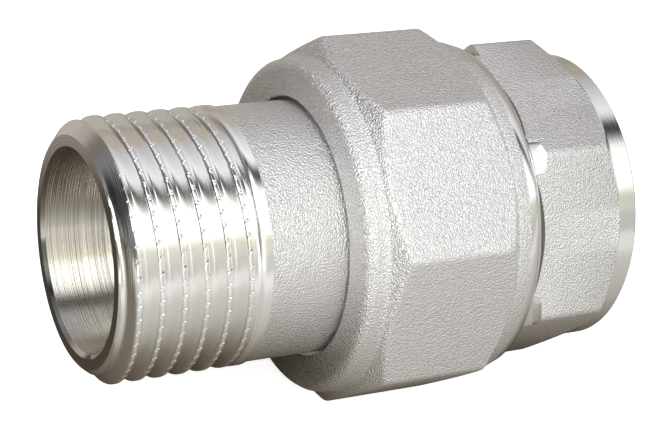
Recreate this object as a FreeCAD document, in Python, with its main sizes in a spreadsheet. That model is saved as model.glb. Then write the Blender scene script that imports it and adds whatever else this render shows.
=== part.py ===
import FreeCAD, Part
import math
import os
import Sketcher

# Straight pipe union, male to female, lying on a flat of its octagonal nut.
# The pipe axis is X, with the female end at +X and the male tail at -X; +Z is up.
# X = 0 is where the socket's full thread wall begins, just inside its bevelled mouth.
# Lengths are in millimetres and angles in degrees.

DRIVING_SIZES = (
    # The two pipe threads (parallel pipe thread, half inch) and the wall round the waterway.
    ("male_thread_radius", 10.4775),
    ("female_thread_radius", 9.3155),
    ("tail_wall", 2.4775),
    # Tailpiece, from its threaded end to its sealing nose.
    ("tail_reach", 20.4),
    ("tail_thread_length", 12.0),
    ("tail_lead_length", 1.1),
    ("tail_lead_depth", 1.29),
    ("tail_mouth_bevel", 0.3),
    ("shank_step", 0.17),
    ("flange_side_gap", 0.563),
    ("flange_length", 3.0),
    ("flange_bevel", 0.3),
    ("nose_side_gap", 0.4),
    ("nose_length", 4.7),
    ("nose_bevel", 0.5),
    # Flat-sided rubber seal ring and its groove in the nose.
    ("seal_thickness", 1.44),
    ("seal_edge_bevel", 0.25),
    ("seal_play", 0.03),
    ("groove_floor", 0.8),
    ("groove_width", 1.9),
    ("groove_offset", 1.3),
    # Union nut.
    ("nut_length", 15.5),
    ("nut_wall", 2.0),
    ("nut_hole_gap", 0.12),
    ("nut_hole_bevel", 0.15),
    ("nut_collar_wall", 1.597),
    ("nut_collar_rise", 0.04),
    ("nut_collar_length", 1.95),
    ("nut_valley_length", 0.35),
    ("nut_valley_rise", 0.13),
    ("nut_collar_round", 0.85),
    ("nut_collar_facet", 0.25),
    ("nut_flat_wall", 2.187),
    ("nut_flat_length", 11.29),
    ("nut_corner_round", 1.0),
    ("nut_front_cone_length", 1.3),
    ("nut_front_cone_depth", 2.0),
    ("nut_back_cone_length", 2.0),
    ("nut_back_cone_depth", 2.1),
    ("nut_skirt_wall", 1.937),
    ("nut_bevel_length", 1.15),
    ("nut_bevel_depth", 0.4),
    ("nut_mouth_bevel", 0.3),
    ("nut_play", 0.05),
    ("nut_back_gap", 0.27),
    # Thread between the nut and the body, as plain walls at its pitch line.
    ("joint_thread_wall", 1.713),
    ("joint_thread_gap", 0.05),
    ("joint_thread_lead", 0.5),
    # Union body.
    ("body_roll", -20.7),
    ("socket_wall", 2.6845),
    ("body_flat_length", 8.2),
    ("body_corner_round", 0.8),
    ("body_neck_depth", 0.563),
    ("body_neck_length", 1.3),
    ("body_land_rise", 1.1),
    ("body_land_length", 1.0),
    ("body_rear_cone_length", 1.6),
    ("body_rear_cone_depth", 1.88),
    ("body_ring_rise", 0.1),
    ("body_ring_length", 1.65),
    ("body_ring_bevel", 0.15),
    ("seat_gap", 0.03),
    ("nose_end_gap", 0.52),
    ("seat_bevel", 0.4),
    ("face_gap", 0.02),
    ("socket_depth", 12.65),
    ("socket_bevel", 1.5),
)

HEX_SIDES = 6
OCTAGON_SIDES = 8
FULL_TURN = 360.0
# How far a cutting profile reaches past the metal that it removes.
CUT_REACH = 4.0
MATCH = 1e-4


class Length:
    """A size of the sheet, or a sum of sizes, as a number and as its formula."""

    def __init__(self, value, formula):
        self.value = value
        self.formula = formula

    def __add__(self, other):
        return Length(self.value + other.value, f"{self.formula} + {other.formula}")

    def __sub__(self, other):
        return Length(self.value - other.value, f"{self.formula} - ({other.formula})")

    def __neg__(self):
        return Length(-self.value, f"-({self.formula})")

    def __truediv__(self, number):
        return Length(self.value / number, f"({self.formula}) / {number}")


def number(value):
    return Length(value, str(value))


ZERO = number(0.0)


def make_sheet(doc):
    """Write the driving sizes into a sheet and return them by name."""
    sheet = doc.addObject("Spreadsheet::Sheet", "sizes")
    sizes = {}
    for row, (name, value) in enumerate(DRIVING_SIZES, start=1):
        sheet.set(f"A{row}", name)
        sheet.set(f"B{row}", str(value))
        sheet.setAlias(f"B{row}", name)
        sizes[name] = Length(value, f"sizes.{name}")
    doc.recompute()
    return sizes


def origin_plane(body, role):
    for feature in body.Origin.OriginFeatures:
        if feature.Role == role:
            return feature
    raise RuntimeError(f"{body.Label} has no {role}")


def new_sketch(body, name, role):
    sketch = body.newObject("Sketcher::SketchObject", name)
    sketch.AttachmentSupport = (origin_plane(body, role), [""])
    sketch.MapMode = "FlatFace"
    return sketch


def bind(sketch, constraint, label, length):
    """Add a dimension to a sketch and tie it to the sheet."""
    index = sketch.addConstraint(constraint)
    sketch.renameConstraint(index, label)
    sketch.setExpression(f"Constraints.{label}", length.formula)


def pin_point(sketch, line, point, label, along, radius):
    """Place one end of a line at its distance along the axis and its radius."""
    if along.value == 0.0:
        sketch.addConstraint(Sketcher.Constraint("PointOnObject", line, point, -2))
    else:
        distance = Sketcher.Constraint("DistanceX", -1, 1, line, point, along.value)
        bind(sketch, distance, label + "_along", along)
    if radius.value == 0.0:
        sketch.addConstraint(Sketcher.Constraint("PointOnObject", line, point, -1))
    else:
        distance = Sketcher.Constraint("DistanceY", -1, 1, line, point, radius.value)
        bind(sketch, distance, label + "_radius", radius)


def add_loop(sketch, corners):
    """Draw a closed loop of lines through the corners, joined end to end."""
    count = len(corners)
    for index in range(count):
        start = FreeCAD.Vector(*corners[index], 0)
        end = FreeCAD.Vector(*corners[(index + 1) % count], 0)
        sketch.addGeometry(Part.LineSegment(start, end), False)
    for index in range(count):
        following = (index + 1) % count
        sketch.addConstraint(Sketcher.Constraint("Coincident", index, 2, following, 1))


def profile_sketch(body, name, points):
    """Half section in the XZ plane: points are (distance along X, radius)."""
    sketch = new_sketch(body, name, "XZ_Plane")
    add_loop(sketch, [(along.value, radius.value) for along, radius in points])
    for index, (along, radius) in enumerate(points):
        pin_point(sketch, index, 1, f"corner{index}", along, radius)
    return sketch


def turn(body, name, feature, sketch):
    """Revolve a half section about the pipe axis, adding or cutting metal."""
    turned = body.newObject(f"PartDesign::{feature}", name)
    turned.Profile = sketch
    turned.ReferenceAxis = (sketch, ["H_Axis"])
    turned.Angle = FULL_TURN
    body.Document.recompute()
    return turned


def turned_from(body, name, feature, points):
    return turn(body, name, feature, profile_sketch(body, name + "_profile", points))


def polygon_pad(body, name, sides, apothem, roll, start, length):
    """Regular prism along X, its flats at the apothem, with its first corner roll degrees from +Z."""
    half_side = math.pi / sides
    corner_radius = Length(
        apothem.value / math.cos(half_side),
        f"({apothem.formula}) / cos(180 deg / {sides})",
    )
    first = math.radians(90.0 + roll.value)
    corners = []
    for index in range(sides):
        angle = first + 2 * half_side * index
        corners.append((corner_radius.value * math.cos(angle), corner_radius.value * math.sin(angle)))
    sketch = new_sketch(body, name + "_section", "YZ_Plane")
    sketch.AttachmentOffset = FreeCAD.Placement(FreeCAD.Vector(0, 0, start.value), FreeCAD.Rotation())
    sketch.setExpression("AttachmentOffset.Base.z", start.formula)
    add_loop(sketch, corners)
    origin = FreeCAD.Vector(0, 0, 0)
    circle = sketch.addGeometry(Part.Circle(origin, FreeCAD.Vector(0, 0, 1), corner_radius.value), True)
    sketch.addConstraint(Sketcher.Constraint("Coincident", circle, 3, -1, 1))
    bind(sketch, Sketcher.Constraint("Radius", circle, corner_radius.value), "corner_radius", corner_radius)
    for index in range(sides):
        sketch.addConstraint(Sketcher.Constraint("PointOnObject", index, 1, circle))
    for index in range(1, sides):
        sketch.addConstraint(Sketcher.Constraint("Equal", 0, index))
    side_angle = 180.0 + roll.value + math.degrees(half_side)
    tilt = Length(math.radians(side_angle), f"({roll.formula} + 180 + 180 / {sides}) * 1 deg")
    bind(sketch, Sketcher.Constraint("Angle", 0, tilt.value), "tilt", tilt)
    pad = body.newObject("PartDesign::Pad", name)
    pad.Profile = sketch
    pad.setExpression("Length", length.formula)
    body.Document.recompute()
    return pad


def long_edges(shape, length):
    """Names of the straight edges along X that run the whole of the given length."""
    names = []
    for index, edge in enumerate(shape.Edges, start=1):
        box = edge.BoundBox
        if abs(box.XLength - length) < MATCH and max(box.YLength, box.ZLength) < MATCH:
            names.append(f"Edge{index}")
    return names


def round_corners(body, name, prism, length, size):
    """Round the long corners of a prism."""
    edges = long_edges(prism.Shape, length.value)
    if not edges:
        raise RuntimeError(f"{name} found no edges")
    rounded = body.newObject("PartDesign::Fillet", name)
    rounded.Base = (prism, edges)
    rounded.setExpression("Radius", size.formula)
    body.Document.recompute()


def cone_corners(body, name, start, start_radius, length, depth, outside):
    """Cut a prism's corners off outside a cone that widens from its start; length may be negative."""
    reach = number(CUT_REACH if length.value < 0 else -CUT_REACH)
    turned_from(body, name, "Groove", (
        (start, start_radius),
        (start + length, start_radius + depth),
        (start + length, outside),
        (start + reach, outside),
        (start + reach, start_radius),
    ))


def new_body(doc, label):
    body = doc.addObject("PartDesign::Body", label)
    body.Label = label
    return body


def stations(s):
    """Places along X, from the socket's mouth through the tightened nut to the tail's face."""
    place = {}
    place["mouth"] = s["socket_bevel"]
    place["hex_back"] = place["mouth"] - s["body_ring_length"]
    place["hex_front"] = place["hex_back"] - s["body_flat_length"]
    place["nut_back"] = place["hex_front"] - s["nut_back_gap"]
    place["nut_face"] = place["nut_back"] - s["nut_length"]
    place["nut_shoulder"] = place["nut_face"] + s["nut_wall"]
    place["nut_flat_front"] = place["nut_face"] + s["nut_collar_length"]
    place["flange_front"] = place["nut_shoulder"] + s["nut_play"]
    place["flange_back"] = place["flange_front"] + s["flange_length"]
    place["nose_end"] = place["flange_back"] + s["nose_length"]
    place["groove_front"] = place["flange_back"] + s["groove_offset"]
    place["tail_face"] = place["flange_front"] - s["tail_reach"]
    place["body_front"] = place["flange_back"] + s["face_gap"]
    return place


def radii(s):
    """Radii from the waterway outwards, each from the one inside it and a wall or a clearance."""
    radius = {}
    radius["waterway"] = s["male_thread_radius"] - s["tail_wall"]
    radius["groove_root"] = radius["waterway"] + s["groove_floor"]
    radius["seal_inside"] = radius["groove_root"] + s["seal_play"]
    radius["seal_outside"] = radius["seal_inside"] + s["seal_thickness"]
    radius["seat"] = radius["seal_outside"] + s["seat_gap"]
    radius["nose"] = radius["seat"] - s["nose_side_gap"]
    radius["joint_thread"] = radius["seat"] + s["joint_thread_wall"]
    radius["body_thread"] = radius["joint_thread"] - s["joint_thread_gap"]
    radius["nut_thread"] = radius["joint_thread"] + s["joint_thread_gap"]
    radius["flange"] = radius["nut_thread"] - s["flange_side_gap"]
    radius["nut_flats"] = radius["nut_thread"] + s["nut_flat_wall"]
    radius["body_flats"] = s["female_thread_radius"] + s["socket_wall"]
    radius["body_ring"] = radius["body_flats"] + s["body_ring_rise"]
    return radius


def build_tailpiece(doc, s, place, radius):
    """Turned tail: pipe thread blank, shank, bearing flange and grooved sealing nose."""
    body = new_body(doc, "tailpiece")
    bore = radius["waterway"]
    thread = s["male_thread_radius"]
    shank = thread - s["shank_step"]
    face = place["tail_face"]
    thread_end = face + s["tail_thread_length"]
    flange_front = place["flange_front"]
    flange_back = place["flange_back"]
    flange = radius["flange"]
    nose = radius["nose"]
    nose_end = place["nose_end"]
    groove_front = place["groove_front"]
    groove_back = groove_front + s["groove_width"]
    groove_root = radius["groove_root"]
    points = (
        (face, bore + s["tail_mouth_bevel"]),
        (face, thread - s["tail_lead_depth"]),
        (face + s["tail_lead_length"], thread),
        (thread_end, thread),
        (thread_end, shank),
        (flange_front, shank),
        (flange_front, flange - s["flange_bevel"]),
        (flange_front + s["flange_bevel"], flange),
        (flange_back - s["flange_bevel"], flange),
        (flange_back, flange - s["flange_bevel"]),
        (flange_back, nose),
        (groove_front, nose),
        (groove_front, groove_root),
        (groove_back, groove_root),
        (groove_back, nose),
        (nose_end - s["nose_bevel"], nose),
        (nose_end, nose - s["nose_bevel"]),
        (nose_end, bore),
        (face + s["tail_mouth_bevel"], bore),
    )
    turned_from(body, "tail_turning", "Revolution", points)
    return body


def build_seal(doc, s, place, radius):
    """Lathe-cut rubber ring that sits in the nose groove and meets the wall of the body's seat."""
    body = new_body(doc, "seal_ring")
    middle = place["groove_front"] + s["groove_width"] / 2
    front = middle - s["seal_thickness"] / 2
    back = middle + s["seal_thickness"] / 2
    inside = radius["seal_inside"]
    outside = radius["seal_outside"]
    edge = s["seal_edge_bevel"]
    turned_from(body, "seal_turning", "Revolution", (
        (front, inside + edge),
        (front, outside - edge),
        (front + edge, outside),
        (back - edge, outside),
        (back, outside - edge),
        (back, inside + edge),
        (back - edge, inside),
        (front + edge, inside),
    ))
    return body


def build_nut(doc, s, place, radius):
    """Forged octagonal nut with coned corners, a round front collar, a rear skirt and a threaded bore."""
    body = new_body(doc, "union_nut")
    face = place["nut_face"]
    back = place["nut_back"]
    flat_front = place["nut_flat_front"]
    flat_back = flat_front + s["nut_flat_length"]
    thread_wall = radius["nut_thread"]
    collar = thread_wall + s["nut_collar_wall"]
    collar_root = collar + s["nut_collar_rise"]
    valley_top = collar_root + s["nut_valley_rise"]
    skirt = thread_wall + s["nut_skirt_wall"]
    octagon = polygon_pad(
        body, "nut_octagon", OCTAGON_SIDES, radius["nut_flats"],
        number(180.0 / OCTAGON_SIDES), flat_front, s["nut_flat_length"],
    )
    round_corners(body, "nut_corners", octagon, s["nut_flat_length"], s["nut_corner_round"])
    outside = radius["nut_flats"] + radius["nut_flats"]
    cone_corners(
        body, "nut_front_corners", flat_front, valley_top,
        s["nut_front_cone_length"], s["nut_front_cone_depth"], outside,
    )
    cone_corners(
        body, "nut_back_corners", flat_back, skirt,
        -s["nut_back_cone_length"], s["nut_back_cone_depth"], outside,
    )
    turned_from(body, "nut_core", "Revolution", (
        (face, ZERO),
        (face, collar - s["nut_collar_round"]),
        (face + s["nut_collar_facet"], collar - s["nut_collar_facet"]),
        (face + s["nut_collar_round"], collar),
        (flat_front - s["nut_valley_length"], collar_root),
        (flat_front, valley_top),
        (flat_front + s["nut_flat_length"] / 2, valley_top),
        (flat_front + s["nut_flat_length"] / 2, skirt),
        (back - s["nut_bevel_length"], skirt),
        (back, skirt - s["nut_bevel_depth"]),
        (back, ZERO),
    ))
    hole = s["male_thread_radius"] + s["nut_hole_gap"]
    shoulder = place["nut_shoulder"]
    reach = number(CUT_REACH)
    turned_from(body, "nut_bore", "Groove", (
        (face - reach, ZERO),
        (face - reach, hole + s["nut_hole_bevel"]),
        (face, hole + s["nut_hole_bevel"]),
        (face + s["nut_hole_bevel"], hole),
        (shoulder, hole),
        (shoulder, thread_wall),
        (back - s["nut_mouth_bevel"], thread_wall),
        (back, thread_wall + s["nut_mouth_bevel"]),
        (back + reach, thread_wall + s["nut_mouth_bevel"]),
        (back + reach, ZERO),
    ))
    return body


def build_body(doc, s, place, radius):
    """Forged hexagonal body: lip sloping to the flats, lathe-cut corners, nut thread, seat and socket."""
    body = new_body(doc, "union_body")
    front = place["body_front"]
    mouth = place["mouth"]
    hex_back = place["hex_back"]
    hex_front = place["hex_front"]
    land_end = hex_front + s["body_land_length"]
    flats = radius["body_flats"]
    ring = radius["body_ring"]
    land = flats + s["body_land_rise"]
    reach = number(CUT_REACH)
    hexagon = polygon_pad(
        body, "body_hexagon", HEX_SIDES, flats, s["body_roll"], hex_front, s["body_flat_length"],
    )
    round_corners(body, "body_corners", hexagon, s["body_flat_length"], s["body_corner_round"])
    outside = flats + flats
    turned_from(body, "body_lands", "Groove", (
        (hex_front - reach, land),
        (land_end, land),
        (land_end, outside),
        (hex_front - reach, outside),
    ))
    cone_corners(
        body, "body_rear_corners", hex_back, ring,
        -s["body_rear_cone_length"], s["body_rear_cone_depth"], outside,
    )
    thread = radius["body_thread"]
    neck = thread - s["body_neck_depth"]
    neck_front = hex_front - s["body_neck_length"]
    lip_end = hex_front + land - neck
    turned_from(body, "body_turning", "Revolution", (
        (front, ZERO),
        (front, thread - s["joint_thread_lead"]),
        (front + s["joint_thread_lead"], thread),
        (neck_front, thread),
        (neck_front + s["body_neck_depth"], neck),
        (hex_front, neck),
        (hex_front, land),
        (lip_end, neck),
        (hex_back, neck),
        (hex_back, ring),
        (mouth - s["body_ring_bevel"], ring),
        (mouth, ring - s["body_ring_bevel"]),
        (mouth, ZERO),
    ))
    bore = radius["waterway"]
    socket = s["female_thread_radius"]
    seat = radius["seat"]
    seat_end = place["nose_end"] + s["nose_end_gap"]
    turned_from(body, "body_bore", "Groove", (
        (front - reach, ZERO),
        (front - reach, seat + s["seat_bevel"]),
        (front, seat + s["seat_bevel"]),
        (front + s["seat_bevel"], seat),
        (seat_end, seat),
        (seat_end, bore),
        (mouth - s["socket_depth"], bore),
        (mouth - s["socket_depth"], socket),
        (ZERO, socket),
        (mouth, socket + s["socket_bevel"]),
        (mouth + reach, socket + s["socket_bevel"]),
        (mouth + reach, ZERO),
    ))
    return body


def check_objects(doc):
    for item in doc.Objects:
        if "Invalid" in item.State or "Error" in item.State:
            raise RuntimeError(f"{item.Label} failed: {item.State}")


def export_pieces(pieces):
    os.makedirs("parts", exist_ok=True)
    for piece in pieces:
        shape = piece.Shape
        if shape.isNull() or not shape.isValid() or len(shape.Solids) != 1:
            raise RuntimeError(f"{piece.Label} is not one valid solid")
        shape.exportStep(f"parts/{piece.Label}.step")
        print(f"{piece.Label}: {shape.Volume:.1f} mm3, centre X {shape.CenterOfGravity.x:.2f}")


def main():
    doc = FreeCAD.newDocument("pipe_union")
    sizes = make_sheet(doc)
    place = stations(sizes)
    radius = radii(sizes)
    pieces = [
        build_tailpiece(doc, sizes, place, radius),
        build_seal(doc, sizes, place, radius),
        build_nut(doc, sizes, place, radius),
        build_body(doc, sizes, place, radius),
    ]
    doc.recompute()
    check_objects(doc)
    export_pieces(pieces)


main()
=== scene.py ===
import math

import bmesh
import bpy
import numpy as np
from mathutils import Matrix, Vector

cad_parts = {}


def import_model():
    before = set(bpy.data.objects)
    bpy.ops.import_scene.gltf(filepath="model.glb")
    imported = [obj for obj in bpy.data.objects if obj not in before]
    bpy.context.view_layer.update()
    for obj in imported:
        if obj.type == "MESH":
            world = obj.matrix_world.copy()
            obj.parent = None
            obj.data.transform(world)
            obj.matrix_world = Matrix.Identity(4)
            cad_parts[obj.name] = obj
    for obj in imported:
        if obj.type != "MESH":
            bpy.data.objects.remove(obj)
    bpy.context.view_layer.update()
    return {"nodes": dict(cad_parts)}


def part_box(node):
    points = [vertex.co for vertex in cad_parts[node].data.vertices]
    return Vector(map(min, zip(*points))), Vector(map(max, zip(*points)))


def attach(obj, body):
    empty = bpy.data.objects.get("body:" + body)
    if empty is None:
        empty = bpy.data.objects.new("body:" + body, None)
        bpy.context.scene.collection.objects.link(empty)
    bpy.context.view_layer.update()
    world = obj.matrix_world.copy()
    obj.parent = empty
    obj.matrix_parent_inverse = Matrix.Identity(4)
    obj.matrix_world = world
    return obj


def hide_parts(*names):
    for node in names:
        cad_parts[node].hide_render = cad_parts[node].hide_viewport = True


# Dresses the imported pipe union: threads, nut and hexagon with their real edges, finishes, floor and light.
# Lengths are in millimetres along and round the pipe axis X, and become metres when a mesh is made.
# Angles round the axis start at +Z and grow towards -Y.

MM = 0.001
FULL_TURN = 2 * math.pi
WELD = 1e-6
SHARP_ANGLE = math.radians(33.0)
# Columns that a rounded corner gets on top of the even ones.
CORNER_COLUMNS = 13

# Finishes of a skin, in the order of its material slots; main() lists the materials in the same order.
BLASTED = 0
MACHINED = 1
BORED = 2
# Dark finish that paints the shade of the gap at the body's lip.
LIP_PAINTED_SHADE = 3
THREADED = 4

# One flank of a thread: (share of the pitch from the crest's middle, share of the depth below the crest).
THREAD_FLANK = (
    (0.0, 0.0),
    (0.055, 0.0),
    (0.09, 0.03),
    (0.14, 0.14),
    (0.18, 0.26),
    (0.34, 0.76),
    (0.4, 0.93),
    (0.45, 0.99),
    (0.5, 1.0),
)

# Pipe threads at both ends.
PIPE_PITCH = 1.814
PIPE_CREST = 10.4775
PIPE_ROOT = 9.3155
# Thread between the nut and the body.
JOINT_PITCH = 1.5
JOINT_CREST = 12.5
JOINT_ROOT = 11.58
JOINT_GAP = 0.06
NUT_MINOR = 11.69

# Tailpiece, measured from its threaded face.
BORE = 8.0
TAIL_COLUMNS = 640
TAIL_MOUTH_BEVEL = 0.3
TAIL_LEAD_RADIUS = 9.19
TAIL_LEAD_LENGTH = 1.1
TAIL_FACE_EDGE = 0.05
# The photograph shows a crest this far in, at this many degrees round, which gives its place at angle 0.
TAIL_CREST_SEEN = 2.82
TAIL_CREST_TURN = 34
TAIL_CREST_AT = TAIL_CREST_SEEN - PIPE_PITCH * TAIL_CREST_TURN / 360
TAIL_FADE_START = 10.1
TAIL_FADE_END = 11.5
TAIL_THREAD_END = 12.0
SHANK_RADIUS = 10.3075
SHANK_LENGTH = 8.4
SHANK_EDGE_RISE = 0.1
SHANK_EDGE_START = 0.04
SHANK_EDGE_END = 0.1
FLANGE_RADIUS = 11.5
FLANGE_LENGTH = 3.0
FLANGE_BEVEL = 0.3
NOSE_RADIUS = 9.9
NOSE_BEVEL = 0.5
GROOVE_OFFSET = 1.3
GROOVE_WIDTH = 1.9
GROOVE_ROOT = 8.8
# Notches across the tail's thread crests: depth, and columns from one to the next.
NOTCH_DEPTH = 0.085
NOTCH_SPACING = 11

# Union nut, measured from its front face.
NUT_COLUMNS = 360
NUT_SIDES = 8
NUT_FIRST_CORNER = math.radians(22.5)
NUT_CORNER_SPREAD = math.radians(2.6)
NUT_CORNER_ROUND = 1.0
NUT_FRONT_ROUND = 0.7
NUT_REAR_ROUND = 0.15
NUT_HOLE = 10.5975
NUT_HOLE_BEVEL = 0.15
NUT_WALL = 2.0
NUT_COLLAR = 13.66
NUT_COLLAR_ROUND = 0.9
NUT_COLLAR_STEPS = np.radians((0.0, 22.5, 45.0, 67.5, 90.0))
NUT_VALLEY_START = 1.2
NUT_VALLEY_SHARES = (0.0, 0.25, 0.5, 0.75, 1.0)
# Foot of each cone that cuts back the corners: (place along the nut, radius).
NUT_FRONT_CONE_FOOT = (1.95, 13.83)
NUT_FRONT_CONE_ANGLE = math.atan(1.54)
NUT_REAR_CONE_FOOT = (13.24, 14.0)
NUT_REAR_CONE_ANGLE = math.atan(1.05)
NUT_SKIRT = 14.0
NUT_BEVEL_LENGTH = 1.15
NUT_BEVEL_DEPTH = 0.4
NUT_BACK_ROUND = 0.18
NUT_RELIEF = 12.063
NUT_RELIEF_LENGTH = 1.2
NUT_MOUTH = 12.62

# Rows of a rounded rim between cone and flats, and the most of the cone's height that it takes.
RIM_ROWS = 6
RIM_SHARE = 0.9

# Union body. Its hexagon is placed from the mouth forwards; the edges are narrow strips between finishes.
BODY_COLUMNS = 330
BODY_SIDES = 6
BODY_FIRST_CORNER = math.radians(-20.7)
BODY_CORNER_SPREAD = math.radians(3.2)
BODY_APOTHEM = 12.0
BODY_CORNER_ROUND = 0.8
BODY_SEAT = 10.3
BODY_SEAT_BEVEL = 0.4
BODY_SEAT_LENGTH = 5.2
BODY_NOSE = 11.46
BODY_NECK = 11.4
BODY_NECK_BACK = 0.737
BODY_LAND = 13.1
BODY_LAND_LENGTH = 1.0
BODY_LIP_EDGE = 0.06
BODY_LIP_LEAST = 0.1
BODY_FLAT_LENGTH = 8.2
BODY_EDGE = 0.05
BODY_CONE_SLOPE = 1.175
BODY_CONE_EDGE = 0.03
BODY_RING = 12.1
BODY_RING_LENGTH = 1.65
BODY_RING_BEVEL = 0.15
BODY_RING_EDGE = 0.02
SOCKET_MOUTH = 10.8155
SOCKET_LENGTH = 11.15
SOCKET_FADE = 1.6

# Camera, from the fit to the photograph.
CAMERA_PLACE = (-93.395, -119.700, 90.957)
CAMERA_RIGHT = (0.89198, -0.42073, 0.16542)
CAMERA_UP = (0.10935, 0.55584, 0.82407)
CAMERA_FORWARD = (0.43866, 0.71696, -0.54180)
CAMERA_LENS = 109.70
CAMERA_SENSOR = 36.0
CAMERA_CLIP = (0.01, 20.0)
LIGHT_BOUNCES = 24

# Plating and rubber: (colour, metallic, roughness).
BLASTED_LOOK = ((0.90, 0.895, 0.90), 1.0, 0.27)
MACHINED_LOOK = ((0.84, 0.835, 0.815), 1.0, 0.14)
THREADED_LOOK = ((0.98, 0.975, 0.96), 1.0, 0.16)
# Partly painted shade: the bore's warm tone, darkened below plain nickel to stand in for the shade inside
# the bore.
BORED_SHADED_LOOK = ((0.60, 0.575, 0.52), 1.0, 0.25)
# Painted shade for the body's lip slope: dark nickel where the gap there lies in shadow.
LIP_PAINTED_SHADE_LOOK = ((0.16, 0.155, 0.145), 1.0, 0.5)
RUBBER_LOOK = ((0.02, 0.02, 0.02), 0.0, 0.5)
# Grains of the blasted surface and lines of the turned ones: width, depth and octaves of noise.
GRAIN_WIDTH = 0.135
GRAIN_DEPTH = 0.15
GRAIN_DETAIL = 1.0
LINE_WIDTH = 0.16
LINE_DEPTH = 0.014
LINE_DETAIL = 2.0
LINE_STRENGTH = 0.8
# How far a line moves along the axis for each millimetre that it lies further out.
LINE_SLOPE = 0.6
# Tool marks of the bore: width, depth, and how far they lean towards the mouth, as a slope.
BORE_RING_WIDTH = 0.12
BORE_RING_DEPTH = 0.04
BORE_LEAN = 0.58
BORE_ANISOTROPY = 0.8
BORE_ANISOTROPY_TURN = 0.25

# Light round the pipe axis: (degrees from overhead towards -Y, colour).
LIGHT_BANDS = (
    (-180.0, (0.16, 0.15, 0.14)),
    (-120.0, (0.16, 0.15, 0.14)),
    (-96.0, (0.32, 0.30, 0.27)),
    (-78.0, (0.38, 0.35, 0.31)),
    (-66.0, (0.46, 0.43, 0.39)),
    (-56.0, (0.46, 0.39, 0.30)),
    (-48.0, (0.54, 0.52, 0.53)),
    (-42.0, (0.57, 0.56, 0.59)),
    (-33.0, (0.68, 0.68, 0.73)),
    (-22.0, (0.82, 0.82, 0.88)),
    (-12.0, (1.00, 1.00, 1.04)),
    (-6.0, (0.76, 0.76, 0.78)),
    (-1.0, (0.10, 0.10, 0.10)),
    (3.0, (0.03, 0.03, 0.03)),
    (8.0, (0.03, 0.03, 0.03)),
    (13.0, (0.36, 0.36, 0.36)),
    (19.0, (1.15, 1.15, 1.15)),
    (36.0, (1.34, 1.34, 1.34)),
    (54.0, (1.28, 1.28, 1.27)),
    (61.0, (0.66, 0.67, 0.50)),
    (65.0, (0.70, 0.70, 0.56)),
    (69.0, (0.76, 0.75, 0.70)),
    (77.0, (0.60, 0.59, 0.56)),
    (86.0, (0.60, 0.59, 0.57)),
    (118.0, (0.46, 0.44, 0.41)),
    (180.0, (0.16, 0.15, 0.14)),
)
LIGHT_BANDS_WIDTH = 360.0

# The studio changes towards the tail's side. Each pair says where a change starts and ends, as the X
# of the direction that the light comes from. FRONT_FROM is such a pair for its Y, from back to front.
FRONT_FROM = (0.35, -0.35)
# Degrees that the bands turn by.
TAIL_SIDE_TURN = 14.0
TAIL_SIDE_TURN_FROM = (0.0, -0.45)
# How much brighter the front gets, and how much darker the back.
TAIL_SIDE_GAIN = 0.5
TAIL_SIDE_GAIN_FROM = (0.38, -0.6)
TAIL_BACK_LOSS = 0.65
TAIL_BACK_LOSS_FROM = (-0.35, -0.6)
# Extra brightness of the front past the tail's end, and how much darker it gets again straight past it.
TAIL_END_GAIN = 1.9
TAIL_END_GAIN_FROM = (-0.42, -0.66)
TAIL_END_LOSS = 0.93
TAIL_END_LOSS_FROM = (-0.72, -0.9)

# Floor as the metal sees it, with painted shadow under and behind the part: (millimetres from under the axis
# towards +Y, colour).
FLOOR_PAINTED_SHADOW = (
    (-60.0, (0.57, 0.56, 0.55)),
    (-28.0, (0.62, 0.60, 0.57)),
    (-18.0, (0.52, 0.50, 0.46)),
    (-9.0, (0.24, 0.21, 0.17)),
    (2.0, (0.10, 0.08, 0.06)),
    (12.0, (0.07, 0.06, 0.05)),
    (26.0, (0.08, 0.07, 0.05)),
    (38.0, (0.32, 0.29, 0.26)),
    (60.0, (0.50, 0.47, 0.43)),
)
FLOOR_PAINTED_SHADOW_WIDTH = 120.0
# Painted light: a warm glow on the floor in front of the part that only the metal sees, in millimetres along
# Y, and its strength.
FLOOR_PAINTED_LIGHT_FROM = (-22.0, -90.0)
FLOOR_PAINTED_LIGHT = 0.35
FLOOR_PAINTED_LIGHT_COLOUR = (1.0, 0.99, 0.96, 1.0)
# The floor as the camera sees it: size in metres, colour, roughness and own light.
FLOOR_SIZE = 4.0
PAPER_LOOK = ((0.9, 0.9, 0.9), 0.0, 0.9)
PAPER_GLOW = 0.8
WHITE = (1.0, 1.0, 1.0, 1.0)


def smooth_step(value, start, end):
    """0 before start, 1 after end, and an even rise between them."""
    share = np.clip((value - start) / (end - start), 0.0, 1.0)
    return share * share * (3.0 - 2.0 * share)


def polygon_radius(angles, sides, first_corner, apothem, corner_round):
    """Distance from the axis to a regular polygon with rounded corners, at each angle."""
    half = math.pi / sides
    turned = (angles - first_corner) % (2 * half)
    off_corner = np.minimum(turned, 2 * half - turned)
    centre = (apothem - corner_round) / math.cos(half)
    reach = math.atan2(corner_round * math.sin(half), centre + corner_round * math.cos(half))
    under = np.maximum(corner_round**2 - (centre * np.sin(off_corner)) ** 2, 0.0)
    arc = centre * np.cos(off_corner) + np.sqrt(under)
    flat = apothem / np.cos(half - off_corner)
    return np.where(off_corner < reach, arc, flat)


def columns_with_corners(count, sides, first_corner, spread):
    """Even angles round the axis, with more of them near each corner."""
    angles = [np.arange(count) / count * FULL_TURN]
    for corner in range(sides):
        middle = first_corner + corner / sides * FULL_TURN
        angles.append((middle + np.linspace(-spread, spread, CORNER_COLUMNS)) % FULL_TURN)
    return np.unique(np.round(np.concatenate(angles), 6))


def thread_stations():
    """Rows over one pitch as (share of the pitch from the crest, share of the depth)."""
    rising = [(1.0 - share, depth) for share, depth in reversed(THREAD_FLANK[1:-1])]
    return list(THREAD_FLANK) + rising


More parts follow.
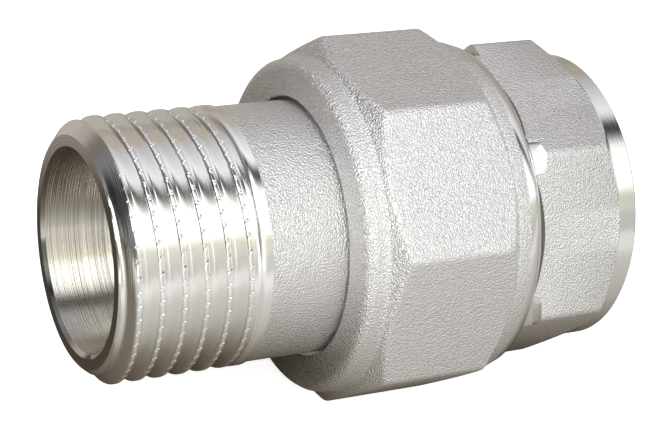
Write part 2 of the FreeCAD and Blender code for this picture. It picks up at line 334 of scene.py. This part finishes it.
class Skin:
    """Rows of points round the pipe axis, joined in order into one closed skin."""

    def __init__(self, angles):
        self.angles = angles
        self.along = []
        self.radius = []
        self.seam = []
        self.finish = []

    def row(self, along, radius, finish):
        """Add a row; its finish covers the strip up to the next row."""
        count = len(self.angles)
        self.seam.append(len(self.along))
        self.along.append(np.broadcast_to(np.asarray(along, float), count).copy())
        self.radius.append(np.broadcast_to(np.asarray(radius, float), count).copy())
        self.finish.append(np.broadcast_to(np.asarray(finish, int), count).copy())

    def thread(self, start, end, pitch, crest_at, radius_at, finish):
        """Add rows that follow a right-hand helix from start to end, which may lie either way along X."""
        forward = end > start
        turned = self.angles / FULL_TURN * pitch
        stations = thread_stations()
        turns = math.ceil(abs(end - start) / pitch) + 2
        base = ((start - crest_at) / pitch) % 1.0
        first = len(self.along)
        low, high = min(start, end), max(start, end)
        rows = []
        for turn in range(-1, turns + 1):
            for share, depth in stations:
                rows.append((turn, share, depth))
        if not forward:
            rows = [(turn, -share, depth) for turn, share, depth in rows]
        last = first + len(rows) - 1
        for index, (turn, share, depth) in enumerate(rows):
            if forward:
                place = start + pitch * (turn + share - base - 1.0) + turned
                seam = min(first + index + len(stations), last)
            else:
                place = start - pitch * (turn - share + base) + pitch + turned
                seam = max(first + index - len(stations), first)
            place = np.clip(place, low, high)
            self.row(place, radius_at(place, depth, turn), finish)
            self.seam[-1] = seam

    def mesh(self, name):
        """Weld the rows into a mesh in metres."""
        along = np.array(self.along)
        radius = np.array(self.radius)
        rows, columns = along.shape
        points = np.stack(
            (along, -radius * np.sin(self.angles), radius * np.cos(self.angles)), axis=-1
        ).reshape(-1, 3)
        here = np.arange(rows)
        after = (here + 1) % rows
        seam = np.array(self.seam)
        corners = []
        for column in range(columns):
            following = (column + 1) % columns
            side = seam if following == 0 else here
            corners.append(np.stack((
                here * columns + column,
                side * columns + following,
                side[after] * columns + following,
                after * columns + column,
            ), axis=-1))
        faces = np.stack(corners, axis=1).reshape(-1, 4)
        finish = np.array(self.finish).reshape(-1)
        mesh = bpy.data.meshes.new(name)
        mesh.from_pydata((points * MM).tolist(), [], faces.tolist())
        mesh.polygons.foreach_set("material_index", finish.astype(np.int32))
        return mesh


def finish_mesh(mesh):
    """Weld coinciding points, turn the faces outwards and mark the sharp edges."""
    skin = bmesh.new()
    skin.from_mesh(mesh)
    bmesh.ops.remove_doubles(skin, verts=skin.verts, dist=WELD)
    bmesh.ops.dissolve_degenerate(skin, edges=skin.edges, dist=WELD / 4)
    bmesh.ops.recalc_face_normals(skin, faces=skin.faces)
    for face in skin.faces:
        face.smooth = True
    for edge in skin.edges:
        if len(edge.link_faces) == 2 and edge.calc_face_angle(0.0) > SHARP_ANGLE:
            edge.smooth = False
    skin.to_mesh(mesh)
    skin.free()


def add_piece(skin, name, node, body, materials):
    """Make a skin into a piece that rides on a body and stands for a node."""
    mesh = skin.mesh(name)
    finish_mesh(mesh)
    for material in materials:
        mesh.materials.append(material)
    piece = bpy.data.objects.new(name, mesh)
    bpy.context.scene.collection.objects.link(piece)
    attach(piece, body)
    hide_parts(node)


def span(node):
    """Places along X, in millimetres, where a node starts and ends."""
    low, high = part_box(node)
    return low.x / MM, high.x / MM


def joint_crest_at():
    """Place of a crest of the body's joint thread at angle 0; the nut's thread follows it."""
    return span("union_body")[0]


def make_tail(materials):
    """Tail with its notched pipe thread, blasted shank, flange and grooved nose."""
    face, nose_end = span("tailpiece")
    angles = np.arange(TAIL_COLUMNS) / TAIL_COLUMNS * FULL_TURN
    skin = Skin(angles)
    lead_slope = (PIPE_CREST - TAIL_LEAD_RADIUS) / TAIL_LEAD_LENGTH

    def radius_at(place, depth, turn):
        along = place - face
        fade = 1.0 - smooth_step(along, TAIL_FADE_START, TAIL_FADE_END)
        thread = PIPE_CREST - (PIPE_CREST - PIPE_ROOT) * depth * fade
        step = (np.arange(TAIL_COLUMNS) + turn * TAIL_COLUMNS) % NOTCH_SPACING
        notch = np.where(step == 0, NOTCH_DEPTH, 0.0)
        thread = np.minimum(thread, PIPE_CREST - notch * fade)
        lead = TAIL_LEAD_RADIUS + lead_slope * along
        return np.minimum(thread, lead)

    thread_end = face + TAIL_THREAD_END
    flange_front = thread_end + SHANK_LENGTH
    flange_back = flange_front + FLANGE_LENGTH
    groove_front = flange_back + GROOVE_OFFSET
    groove_back = groove_front + GROOVE_WIDTH
    skin.row(face + TAIL_MOUTH_BEVEL, BORE, MACHINED)
    skin.row(face, BORE + TAIL_MOUTH_BEVEL, MACHINED)
    skin.row(face, TAIL_LEAD_RADIUS - TAIL_FACE_EDGE, MACHINED)
    skin.thread(face, thread_end, PIPE_PITCH, face + TAIL_CREST_AT, radius_at, THREADED)
    skin.row(thread_end + SHANK_EDGE_START, SHANK_RADIUS + SHANK_EDGE_RISE, MACHINED)
    skin.row(thread_end + SHANK_EDGE_END, SHANK_RADIUS, BLASTED)
    skin.row(flange_front, SHANK_RADIUS, MACHINED)
    skin.row(flange_front, FLANGE_RADIUS - FLANGE_BEVEL, MACHINED)
    skin.row(flange_front + FLANGE_BEVEL, FLANGE_RADIUS, MACHINED)
    skin.row(flange_back - FLANGE_BEVEL, FLANGE_RADIUS, MACHINED)
    skin.row(flange_back, FLANGE_RADIUS - FLANGE_BEVEL, MACHINED)
    skin.row(flange_back, NOSE_RADIUS, MACHINED)
    skin.row(groove_front, NOSE_RADIUS, MACHINED)
    skin.row(groove_front, GROOVE_ROOT, MACHINED)
    skin.row(groove_back, GROOVE_ROOT, MACHINED)
    skin.row(groove_back, NOSE_RADIUS, MACHINED)
    skin.row(nose_end - NOSE_BEVEL, NOSE_RADIUS, MACHINED)
    skin.row(nose_end, NOSE_RADIUS - NOSE_BEVEL, MACHINED)
    skin.row(nose_end, BORE, BORED)
    add_piece(skin, "tailpiece_threaded", "tailpiece", "tail_side", materials)


def coned_rim(skin, foot, foot_radius, angle, forward, polygon, edge_round, finish):
    """Rows that round a polygon into the cone that rises from its foot at an angle to the axis."""
    sign = 1.0 if forward else -1.0
    crease = foot + sign * (polygon - foot_radius) / math.tan(angle)
    half = math.tan(angle / 2)
    rim = np.minimum(edge_round, RIM_SHARE * (polygon - foot_radius) / math.sin(angle) / half)
    shares = np.linspace(1.0, 0.0, RIM_ROWS)
    if not forward:
        shares = shares[::-1]
    for share in shares:
        step = share * angle
        skin.row(
            crease + sign * rim * (half - math.sin(step)),
            polygon - rim * (1.0 - math.cos(step)),
            finish,
        )


def make_nut(materials):
    """Octagonal nut with its rounded collar, coned corners, skirt, polished rear bevel and inside thread."""
    face, back = span("union_nut")
    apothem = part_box("union_nut")[1].z / MM
    angles = columns_with_corners(NUT_COLUMNS, NUT_SIDES, NUT_FIRST_CORNER, NUT_CORNER_SPREAD)
    polygon = polygon_radius(angles, NUT_SIDES, NUT_FIRST_CORNER, apothem, NUT_CORNER_ROUND)
    skin = Skin(angles)
    shoulder = face + NUT_WALL

    skin.row(face + NUT_HOLE_BEVEL, NUT_HOLE, MACHINED)
    skin.row(face, NUT_HOLE + NUT_HOLE_BEVEL, BLASTED)
    for step in NUT_COLLAR_STEPS:
        skin.row(
            face + NUT_COLLAR_ROUND * (1.0 - math.cos(step)),
            NUT_COLLAR - NUT_COLLAR_ROUND * (1.0 - math.sin(step)),
            BLASTED,
        )
    foot, foot_radius = NUT_FRONT_CONE_FOOT
    for share in NUT_VALLEY_SHARES:
        place = NUT_VALLEY_START + (foot - NUT_VALLEY_START) * share
        skin.row(face + place, NUT_COLLAR + (foot_radius - NUT_COLLAR) * share**2, BLASTED)
    coned_rim(skin, face + foot, foot_radius, NUT_FRONT_CONE_ANGLE, True, polygon, NUT_FRONT_ROUND, BLASTED)
    foot, foot_radius = NUT_REAR_CONE_FOOT
    coned_rim(skin, face + foot, foot_radius, NUT_REAR_CONE_ANGLE, False, polygon, NUT_REAR_ROUND, BLASTED)
    skin.row(face + foot, foot_radius, BLASTED)
    skin.row(back - NUT_BEVEL_LENGTH, NUT_SKIRT, MACHINED)
    end = NUT_SKIRT - NUT_BEVEL_DEPTH
    skin.row(back - NUT_BACK_ROUND, end + NUT_BACK_ROUND * NUT_BEVEL_DEPTH / NUT_BEVEL_LENGTH, MACHINED)
    skin.row(back - NUT_BACK_ROUND / 3, end - NUT_BACK_ROUND / 4, MACHINED)
    skin.row(back, end - NUT_BACK_ROUND, MACHINED)

    def radius_at(place, depth, turn):
        crest = JOINT_CREST - (JOINT_CREST - JOINT_ROOT) * depth + JOINT_GAP
        thread = np.maximum(crest, NUT_MINOR)
        relief = smooth_step(shoulder + NUT_RELIEF_LENGTH - place, 0.0, NUT_RELIEF_LENGTH / 2)
        thread = thread + (NUT_RELIEF - thread) * relief
        return np.maximum(thread, NUT_MOUTH - (back - place))

    skin.thread(back, shoulder, JOINT_PITCH, joint_crest_at(), radius_at, MACHINED)
    skin.row(shoulder, NUT_HOLE, MACHINED)
    add_piece(skin, "union_nut_forged", "union_nut", "nut", materials)


def make_body(materials):
    """Hexagonal body with its sloped lip, lathe-cut corners, polished ring, seat and both threads."""
    front, mouth = span("union_body")
    hex_back = mouth - BODY_RING_LENGTH
    hex_front = hex_back - BODY_FLAT_LENGTH
    land_end = hex_front + BODY_LAND_LENGTH
    neck_start = hex_front - BODY_NECK_BACK
    angles = columns_with_corners(BODY_COLUMNS, BODY_SIDES, BODY_FIRST_CORNER, BODY_CORNER_SPREAD)
    polygon = polygon_radius(angles, BODY_SIDES, BODY_FIRST_CORNER, BODY_APOTHEM, BODY_CORNER_ROUND)
    land = np.minimum(polygon, BODY_LAND)
    on_land = np.where(polygon > BODY_LAND, MACHINED, BLASTED)
    # The lip's slope below the lands gets the dark finish, painted shade of the gap in front of the hexagon.
    on_slope = np.where(polygon > BODY_LAND, MACHINED, LIP_PAINTED_SHADE)
    skin = Skin(angles)

    def joint_radius(place, depth, turn):
        thread = JOINT_CREST - (JOINT_CREST - JOINT_ROOT) * depth
        lead = BODY_NOSE + (place - front)
        tail = BODY_NECK + (neck_start - place)
        return np.minimum(np.minimum(thread, lead), tail)

    skin.row(front + BODY_SEAT_BEVEL, BODY_SEAT, MACHINED)
    skin.row(front, BODY_SEAT + BODY_SEAT_BEVEL, MACHINED)
    skin.thread(front, neck_start, JOINT_PITCH, joint_crest_at(), joint_radius, MACHINED)
    lip_end = hex_front + BODY_LAND - land
    skin.row(hex_front, BODY_NECK, MACHINED)
    skin.row(hex_front, BODY_LAND - BODY_LIP_EDGE, MACHINED)
    skin.row(hex_front + BODY_LIP_EDGE, BODY_LAND - BODY_LIP_EDGE, on_slope)
    skin.row(np.maximum(lip_end, hex_front + BODY_LIP_LEAST), land, on_land)
    skin.row(np.maximum(lip_end, land_end - BODY_EDGE), land, on_land)
    skin.row(np.maximum(lip_end + BODY_EDGE, land_end), polygon, BLASTED)

    height = np.maximum(polygon - BODY_RING, 0.0)
    crease = hex_back - height / BODY_CONE_SLOPE
    skin.row(crease - BODY_EDGE, polygon, BLASTED)
    skin.row(crease, polygon - np.minimum(BODY_CONE_EDGE, height / 2), MACHINED)
    skin.row(hex_back, np.minimum(polygon, BODY_RING), MACHINED)
    skin.row(hex_back + BODY_RING_EDGE, BODY_RING, MACHINED)
    skin.row(mouth - BODY_RING_BEVEL, BODY_RING, MACHINED)
    skin.row(mouth, BODY_RING - BODY_RING_BEVEL, MACHINED)

    def socket_radius(place, depth, turn):
        fade = smooth_step(place, -SOCKET_LENGTH, SOCKET_FADE - SOCKET_LENGTH)
        thread = PIPE_ROOT + (PIPE_CREST - PIPE_ROOT) * (1.0 - depth) * fade
        return np.maximum(thread, PIPE_ROOT + place * (SOCKET_MOUTH - PIPE_ROOT) / mouth)

    skin.thread(mouth, -SOCKET_LENGTH, PIPE_PITCH, 0.0, socket_radius, MACHINED)
    skin.row(-SOCKET_LENGTH, BORE, MACHINED)
    skin.row(front + BODY_SEAT_LENGTH, BORE, MACHINED)
    skin.row(front + BODY_SEAT_LENGTH, BODY_SEAT, MACHINED)
    add_piece(skin, "union_body_machined", "union_body", "body_side", materials)


def new_material(name, look):
    """Material with one shader; returns it with its node tree and that shader."""
    colour, metallic, roughness = look
    material = bpy.data.materials.new(name)
    material.use_nodes = True
    shader = material.node_tree.nodes["Principled BSDF"]
    shader.inputs["Base Color"].default_value = (*colour, 1.0)
    shader.inputs["Metallic"].default_value = metallic
    shader.inputs["Roughness"].default_value = roughness
    return material, material.node_tree, shader


def math_node(tree, operation, first, second=None):
    """Math node on sockets or numbers; returns its output."""
    node = tree.nodes.new("ShaderNodeMath")
    node.operation = operation
    for index, value in enumerate((first, second)):
        if value is None:
            continue
        if isinstance(value, (int, float)):
            node.inputs[index].default_value = value
        else:
            tree.links.new(value, node.inputs[index])
    return node.outputs[0]


def rise(tree, value, start_end, size=1.0):
    """A size times a smooth rise from 0 to 1 while the value goes from start to end; returns its output."""
    start, end = start_end
    node = tree.nodes.new("ShaderNodeMapRange")
    node.interpolation_type = "SMOOTHSTEP"
    node.inputs["From Min"].default_value = start
    node.inputs["From Max"].default_value = end
    tree.links.new(value, node.inputs["Value"])
    return math_node(tree, "MULTIPLY", node.outputs[0], size)


def ramp_node(tree, share, bands, width):
    """Colours along a share from 0 to 1, for bands whose places run over a width centred on 0."""
    node = tree.nodes.new("ShaderNodeValToRGB")
    tree.links.new(share, node.inputs[0])
    stops = node.color_ramp.elements
    while len(stops) < len(bands):
        stops.new(0.5)
    for stop, (place, colour) in zip(stops, bands):
        stop.position = place / width + 0.5
        stop.color = (*colour, 1.0)
    return node.outputs["Color"]


def noise_node(tree, vector, grain, detail, dimensions="3D"):
    """Noise whose grains are about that many millimetres across; returns its value."""
    node = tree.nodes.new("ShaderNodeTexNoise")
    node.noise_dimensions = dimensions
    node.inputs["Scale"].default_value = 1.0 / (grain * MM)
    node.inputs["Detail"].default_value = detail
    tree.links.new(vector, node.inputs["W" if dimensions == "1D" else "Vector"])
    return node.outputs[0]


def bump_node(tree, height, depth, strength, below=None):
    """Bump of that many millimetres for a height of 1; returns its normal."""
    node = tree.nodes.new("ShaderNodeBump")
    node.inputs["Strength"].default_value = strength
    node.inputs["Distance"].default_value = depth * MM
    tree.links.new(height, node.inputs["Height"])
    if below is not None:
        tree.links.new(below, node.inputs["Normal"])
    return node.outputs[0]


def blasted_nickel():
    """Nickel over a shot-blasted forging: fine even grain, soft shine."""
    material, tree, shader = new_material("blasted_nickel", BLASTED_LOOK)
    place = tree.nodes.new("ShaderNodeTexCoord").outputs["Object"]
    grain = noise_node(tree, place, GRAIN_WIDTH, GRAIN_DETAIL)
    tree.links.new(bump_node(tree, grain, GRAIN_DEPTH, 1.0), shader.inputs["Normal"])
    return material


def machined_nickel(name, look):
    """Nickel over turned brass: bright, with fine lines round the axis."""
    material, tree, shader = new_material(name, look)
    place = tree.nodes.new("ShaderNodeTexCoord").outputs["Object"]
    parts = tree.nodes.new("ShaderNodeSeparateXYZ")
    tree.links.new(place, parts.inputs[0])
    squares = math_node(
        tree, "ADD",
        math_node(tree, "POWER", parts.outputs["Y"], 2.0),
        math_node(tree, "POWER", parts.outputs["Z"], 2.0),
    )
    radius = math_node(tree, "SQRT", squares)
    sweep = math_node(tree, "ADD", parts.outputs["X"], math_node(tree, "MULTIPLY", radius, LINE_SLOPE))
    lines = noise_node(tree, sweep, LINE_WIDTH, LINE_DETAIL, "1D")
    tree.links.new(bump_node(tree, lines, LINE_DEPTH, LINE_STRENGTH), shader.inputs["Normal"])
    return material


def bored_shaded_nickel():
    """Nickel over a drilled bore, its colour darkened as painted shade deep in the bore: rings of tool marks
    that turn its shine towards the mouth.
    """
    material, tree, shader = new_material("bored_shaded_nickel", BORED_SHADED_LOOK)
    place = tree.nodes.new("ShaderNodeTexCoord").outputs["Object"]
    parts = tree.nodes.new("ShaderNodeSeparateXYZ")
    tree.links.new(place, parts.inputs[0])
    lean = tree.nodes.new("ShaderNodeVectorMath")
    tree.links.new(tree.nodes.new("ShaderNodeNewGeometry").outputs["Normal"], lean.inputs[0])
    lean.inputs[1].default_value = (-BORE_LEAN, 0.0, 0.0)
    turned = tree.nodes.new("ShaderNodeVectorMath")
    turned.operation = "NORMALIZE"
    tree.links.new(lean.outputs[0], turned.inputs[0])
    rings = noise_node(tree, parts.outputs["X"], BORE_RING_WIDTH, LINE_DETAIL, "1D")
    normal = bump_node(tree, rings, BORE_RING_DEPTH, 1.0, turned.outputs[0])
    tree.links.new(normal, shader.inputs["Normal"])
    tangent = tree.nodes.new("ShaderNodeTangent")
    tangent.direction_type = "RADIAL"
    tangent.axis = "X"
    tree.links.new(tangent.outputs[0], shader.inputs["Tangent"])
    shader.inputs["Anisotropic"].default_value = BORE_ANISOTROPY
    shader.inputs["Anisotropic Rotation"].default_value = BORE_ANISOTROPY_TURN
    return material


def lip_painted_shade_nickel():
    """Painted shade: dull dark nickel on the body's lip where it slopes down to the flats, standing in for
    the shadowed gap there.
    """
    return new_material("lip_painted_shade_nickel", LIP_PAINTED_SHADE_LOOK)[0]


def seal_rubber():
    """Black rubber of the hidden seal ring."""
    return new_material("seal_rubber", RUBBER_LOOK)[0]


def camera_mix(tree, others, camera):
    """Shader that is one thing to the camera and another to all other rays; returns its output."""
    mix = tree.nodes.new("ShaderNodeMixShader")
    tree.links.new(tree.nodes.new("ShaderNodeLightPath").outputs["Is Camera Ray"], mix.inputs[0])
    tree.links.new(others, mix.inputs[1])
    tree.links.new(camera, mix.inputs[2])
    return mix.outputs[0]


def make_light():
    """A studio of long bands of light round the part, seen in the metal; the camera sees a white room."""
    world = bpy.data.worlds.new("studio")
    bpy.context.scene.world = world
    world.use_nodes = True
    tree = world.node_tree
    tree.nodes.clear()
    direction = tree.nodes.new("ShaderNodeTexCoord").outputs["Generated"]
    parts = tree.nodes.new("ShaderNodeSeparateXYZ")
    tree.links.new(direction, parts.inputs[0])
    along = parts.outputs["X"]
    across = math_node(tree, "MULTIPLY", parts.outputs["Y"], -1.0)
    angle = math_node(tree, "ARCTAN2", across, parts.outputs["Z"])
    skew = rise(tree, along, TAIL_SIDE_TURN_FROM, math.radians(TAIL_SIDE_TURN))
    turned = math_node(tree, "DIVIDE", math_node(tree, "ADD", angle, skew), FULL_TURN)
    turn = math_node(tree, "FRACT", math_node(tree, "ADD", turned, 0.5))
    lit = tree.nodes.new("ShaderNodeBackground")
    tree.links.new(ramp_node(tree, turn, LIGHT_BANDS, LIGHT_BANDS_WIDTH), lit.inputs["Color"])
    front = rise(tree, parts.outputs["Y"], FRONT_FROM)
    behind = math_node(tree, "SUBTRACT", 1.0, front)
    side = rise(tree, along, TAIL_SIDE_GAIN_FROM, TAIL_SIDE_GAIN)
    end = rise(tree, along, TAIL_END_GAIN_FROM, TAIL_END_GAIN)
    gain = math_node(tree, "MULTIPLY", math_node(tree, "ADD", side, end), front)
    fall = math_node(tree, "MULTIPLY", rise(tree, along, TAIL_BACK_LOSS_FROM, TAIL_BACK_LOSS), behind)
    change = math_node(tree, "SUBTRACT", gain, fall)
    loss = rise(tree, along, TAIL_END_LOSS_FROM, -TAIL_END_LOSS)
    strength = math_node(
        tree, "MULTIPLY",
        math_node(tree, "ADD", change, 1.0),
        math_node(tree, "ADD", loss, 1.0),
    )
    tree.links.new(strength, lit.inputs["Strength"])
    white = tree.nodes.new("ShaderNodeBackground")
    white.inputs["Color"].default_value = WHITE
    output = tree.nodes.new("ShaderNodeOutputWorld")
    tree.links.new(camera_mix(tree, lit.outputs[0], white.outputs[0]), output.inputs["Surface"])


def make_floor():
    """Plain white floor under the nut's lowest flat; the metal sees it darkened by a painted shadow under
    the part and lit by a painted glow in front of it.
    """
    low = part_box("union_nut")[0].z
    half = FLOOR_SIZE / 2
    mesh = bpy.data.meshes.new("floor")
    corners = [(-half, -half, low), (half, -half, low), (half, half, low), (-half, half, low)]
    mesh.from_pydata(corners, [], [(0, 1, 2, 3)])
    floor = bpy.data.objects.new("floor", mesh)
    bpy.context.scene.collection.objects.link(floor)
    material, tree, paper = new_material("white_paper", PAPER_LOOK)
    paper.inputs["Specular IOR Level"].default_value = 0.0
    paper.inputs["Emission Color"].default_value = WHITE
    paper.inputs["Emission Strength"].default_value = PAPER_GLOW
    parts = tree.nodes.new("ShaderNodeSeparateXYZ")
    tree.links.new(tree.nodes.new("ShaderNodeTexCoord").outputs["Object"], parts.inputs[0])
    across = parts.outputs["Y"]
    seen = tree.nodes.new("ShaderNodeBsdfPrincipled")
    seen.inputs["Roughness"].default_value = 1.0
    seen.inputs["Specular IOR Level"].default_value = 0.0
    # Painted shadow: the floor's colour as the metal sees it darkens under and behind the part.
    share = math_node(tree, "DIVIDE", across, FLOOR_PAINTED_SHADOW_WIDTH * MM)
    share = math_node(tree, "ADD", share, 0.5)
    tree.links.new(ramp_node(tree, share, FLOOR_PAINTED_SHADOW, FLOOR_PAINTED_SHADOW_WIDTH), seen.inputs["Base Color"])
    seen.inputs["Emission Color"].default_value = FLOOR_PAINTED_LIGHT_COLOUR
    # Painted light: the floor glows in front of the part for all rays but the camera's.
    painted_light = rise(tree, across, [place * MM for place in FLOOR_PAINTED_LIGHT_FROM], FLOOR_PAINTED_LIGHT)
    tree.links.new(painted_light, seen.inputs["Emission Strength"])
    surface = camera_mix(tree, seen.outputs[0], paper.outputs[0])
    tree.links.new(surface, tree.nodes["Material Output"].inputs["Surface"])
    mesh.materials.append(material)


def make_camera():
    """The photograph's camera."""
    data = bpy.data.cameras.new("camera")
    data.lens = CAMERA_LENS
    data.sensor_width = CAMERA_SENSOR
    data.clip_start, data.clip_end = CAMERA_CLIP
    camera = bpy.data.objects.new("camera", data)
    bpy.context.scene.collection.objects.link(camera)
    axes = Matrix((CAMERA_RIGHT, CAMERA_UP, [-part for part in CAMERA_FORWARD])).transposed()
    camera.matrix_world = Matrix.Translation(Vector(CAMERA_PLACE) * MM) @ axes.to_4x4()
    bpy.context.scene.camera = camera


def main():
    """Dress the frame."""
    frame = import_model()
    scene = bpy.context.scene
    scene.view_settings.view_transform = "Standard"
    scene.cycles.max_bounces = LIGHT_BOUNCES
    scene.cycles.glossy_bounces = LIGHT_BOUNCES
    make_camera()
    make_light()
    make_floor()
    metals = (
        blasted_nickel(),
        machined_nickel("machined_nickel", MACHINED_LOOK),
        bored_shaded_nickel(),
        lip_painted_shade_nickel(),
        machined_nickel("threaded_nickel", THREADED_LOOK),
    )
    make_tail(metals)
    make_nut(metals)
    make_body(metals)
    seal = frame["nodes"]["seal_ring"]
    seal.data.materials.clear()
    seal.data.materials.append(seal_rubber())
    bpy.context.view_layer.update()


main()
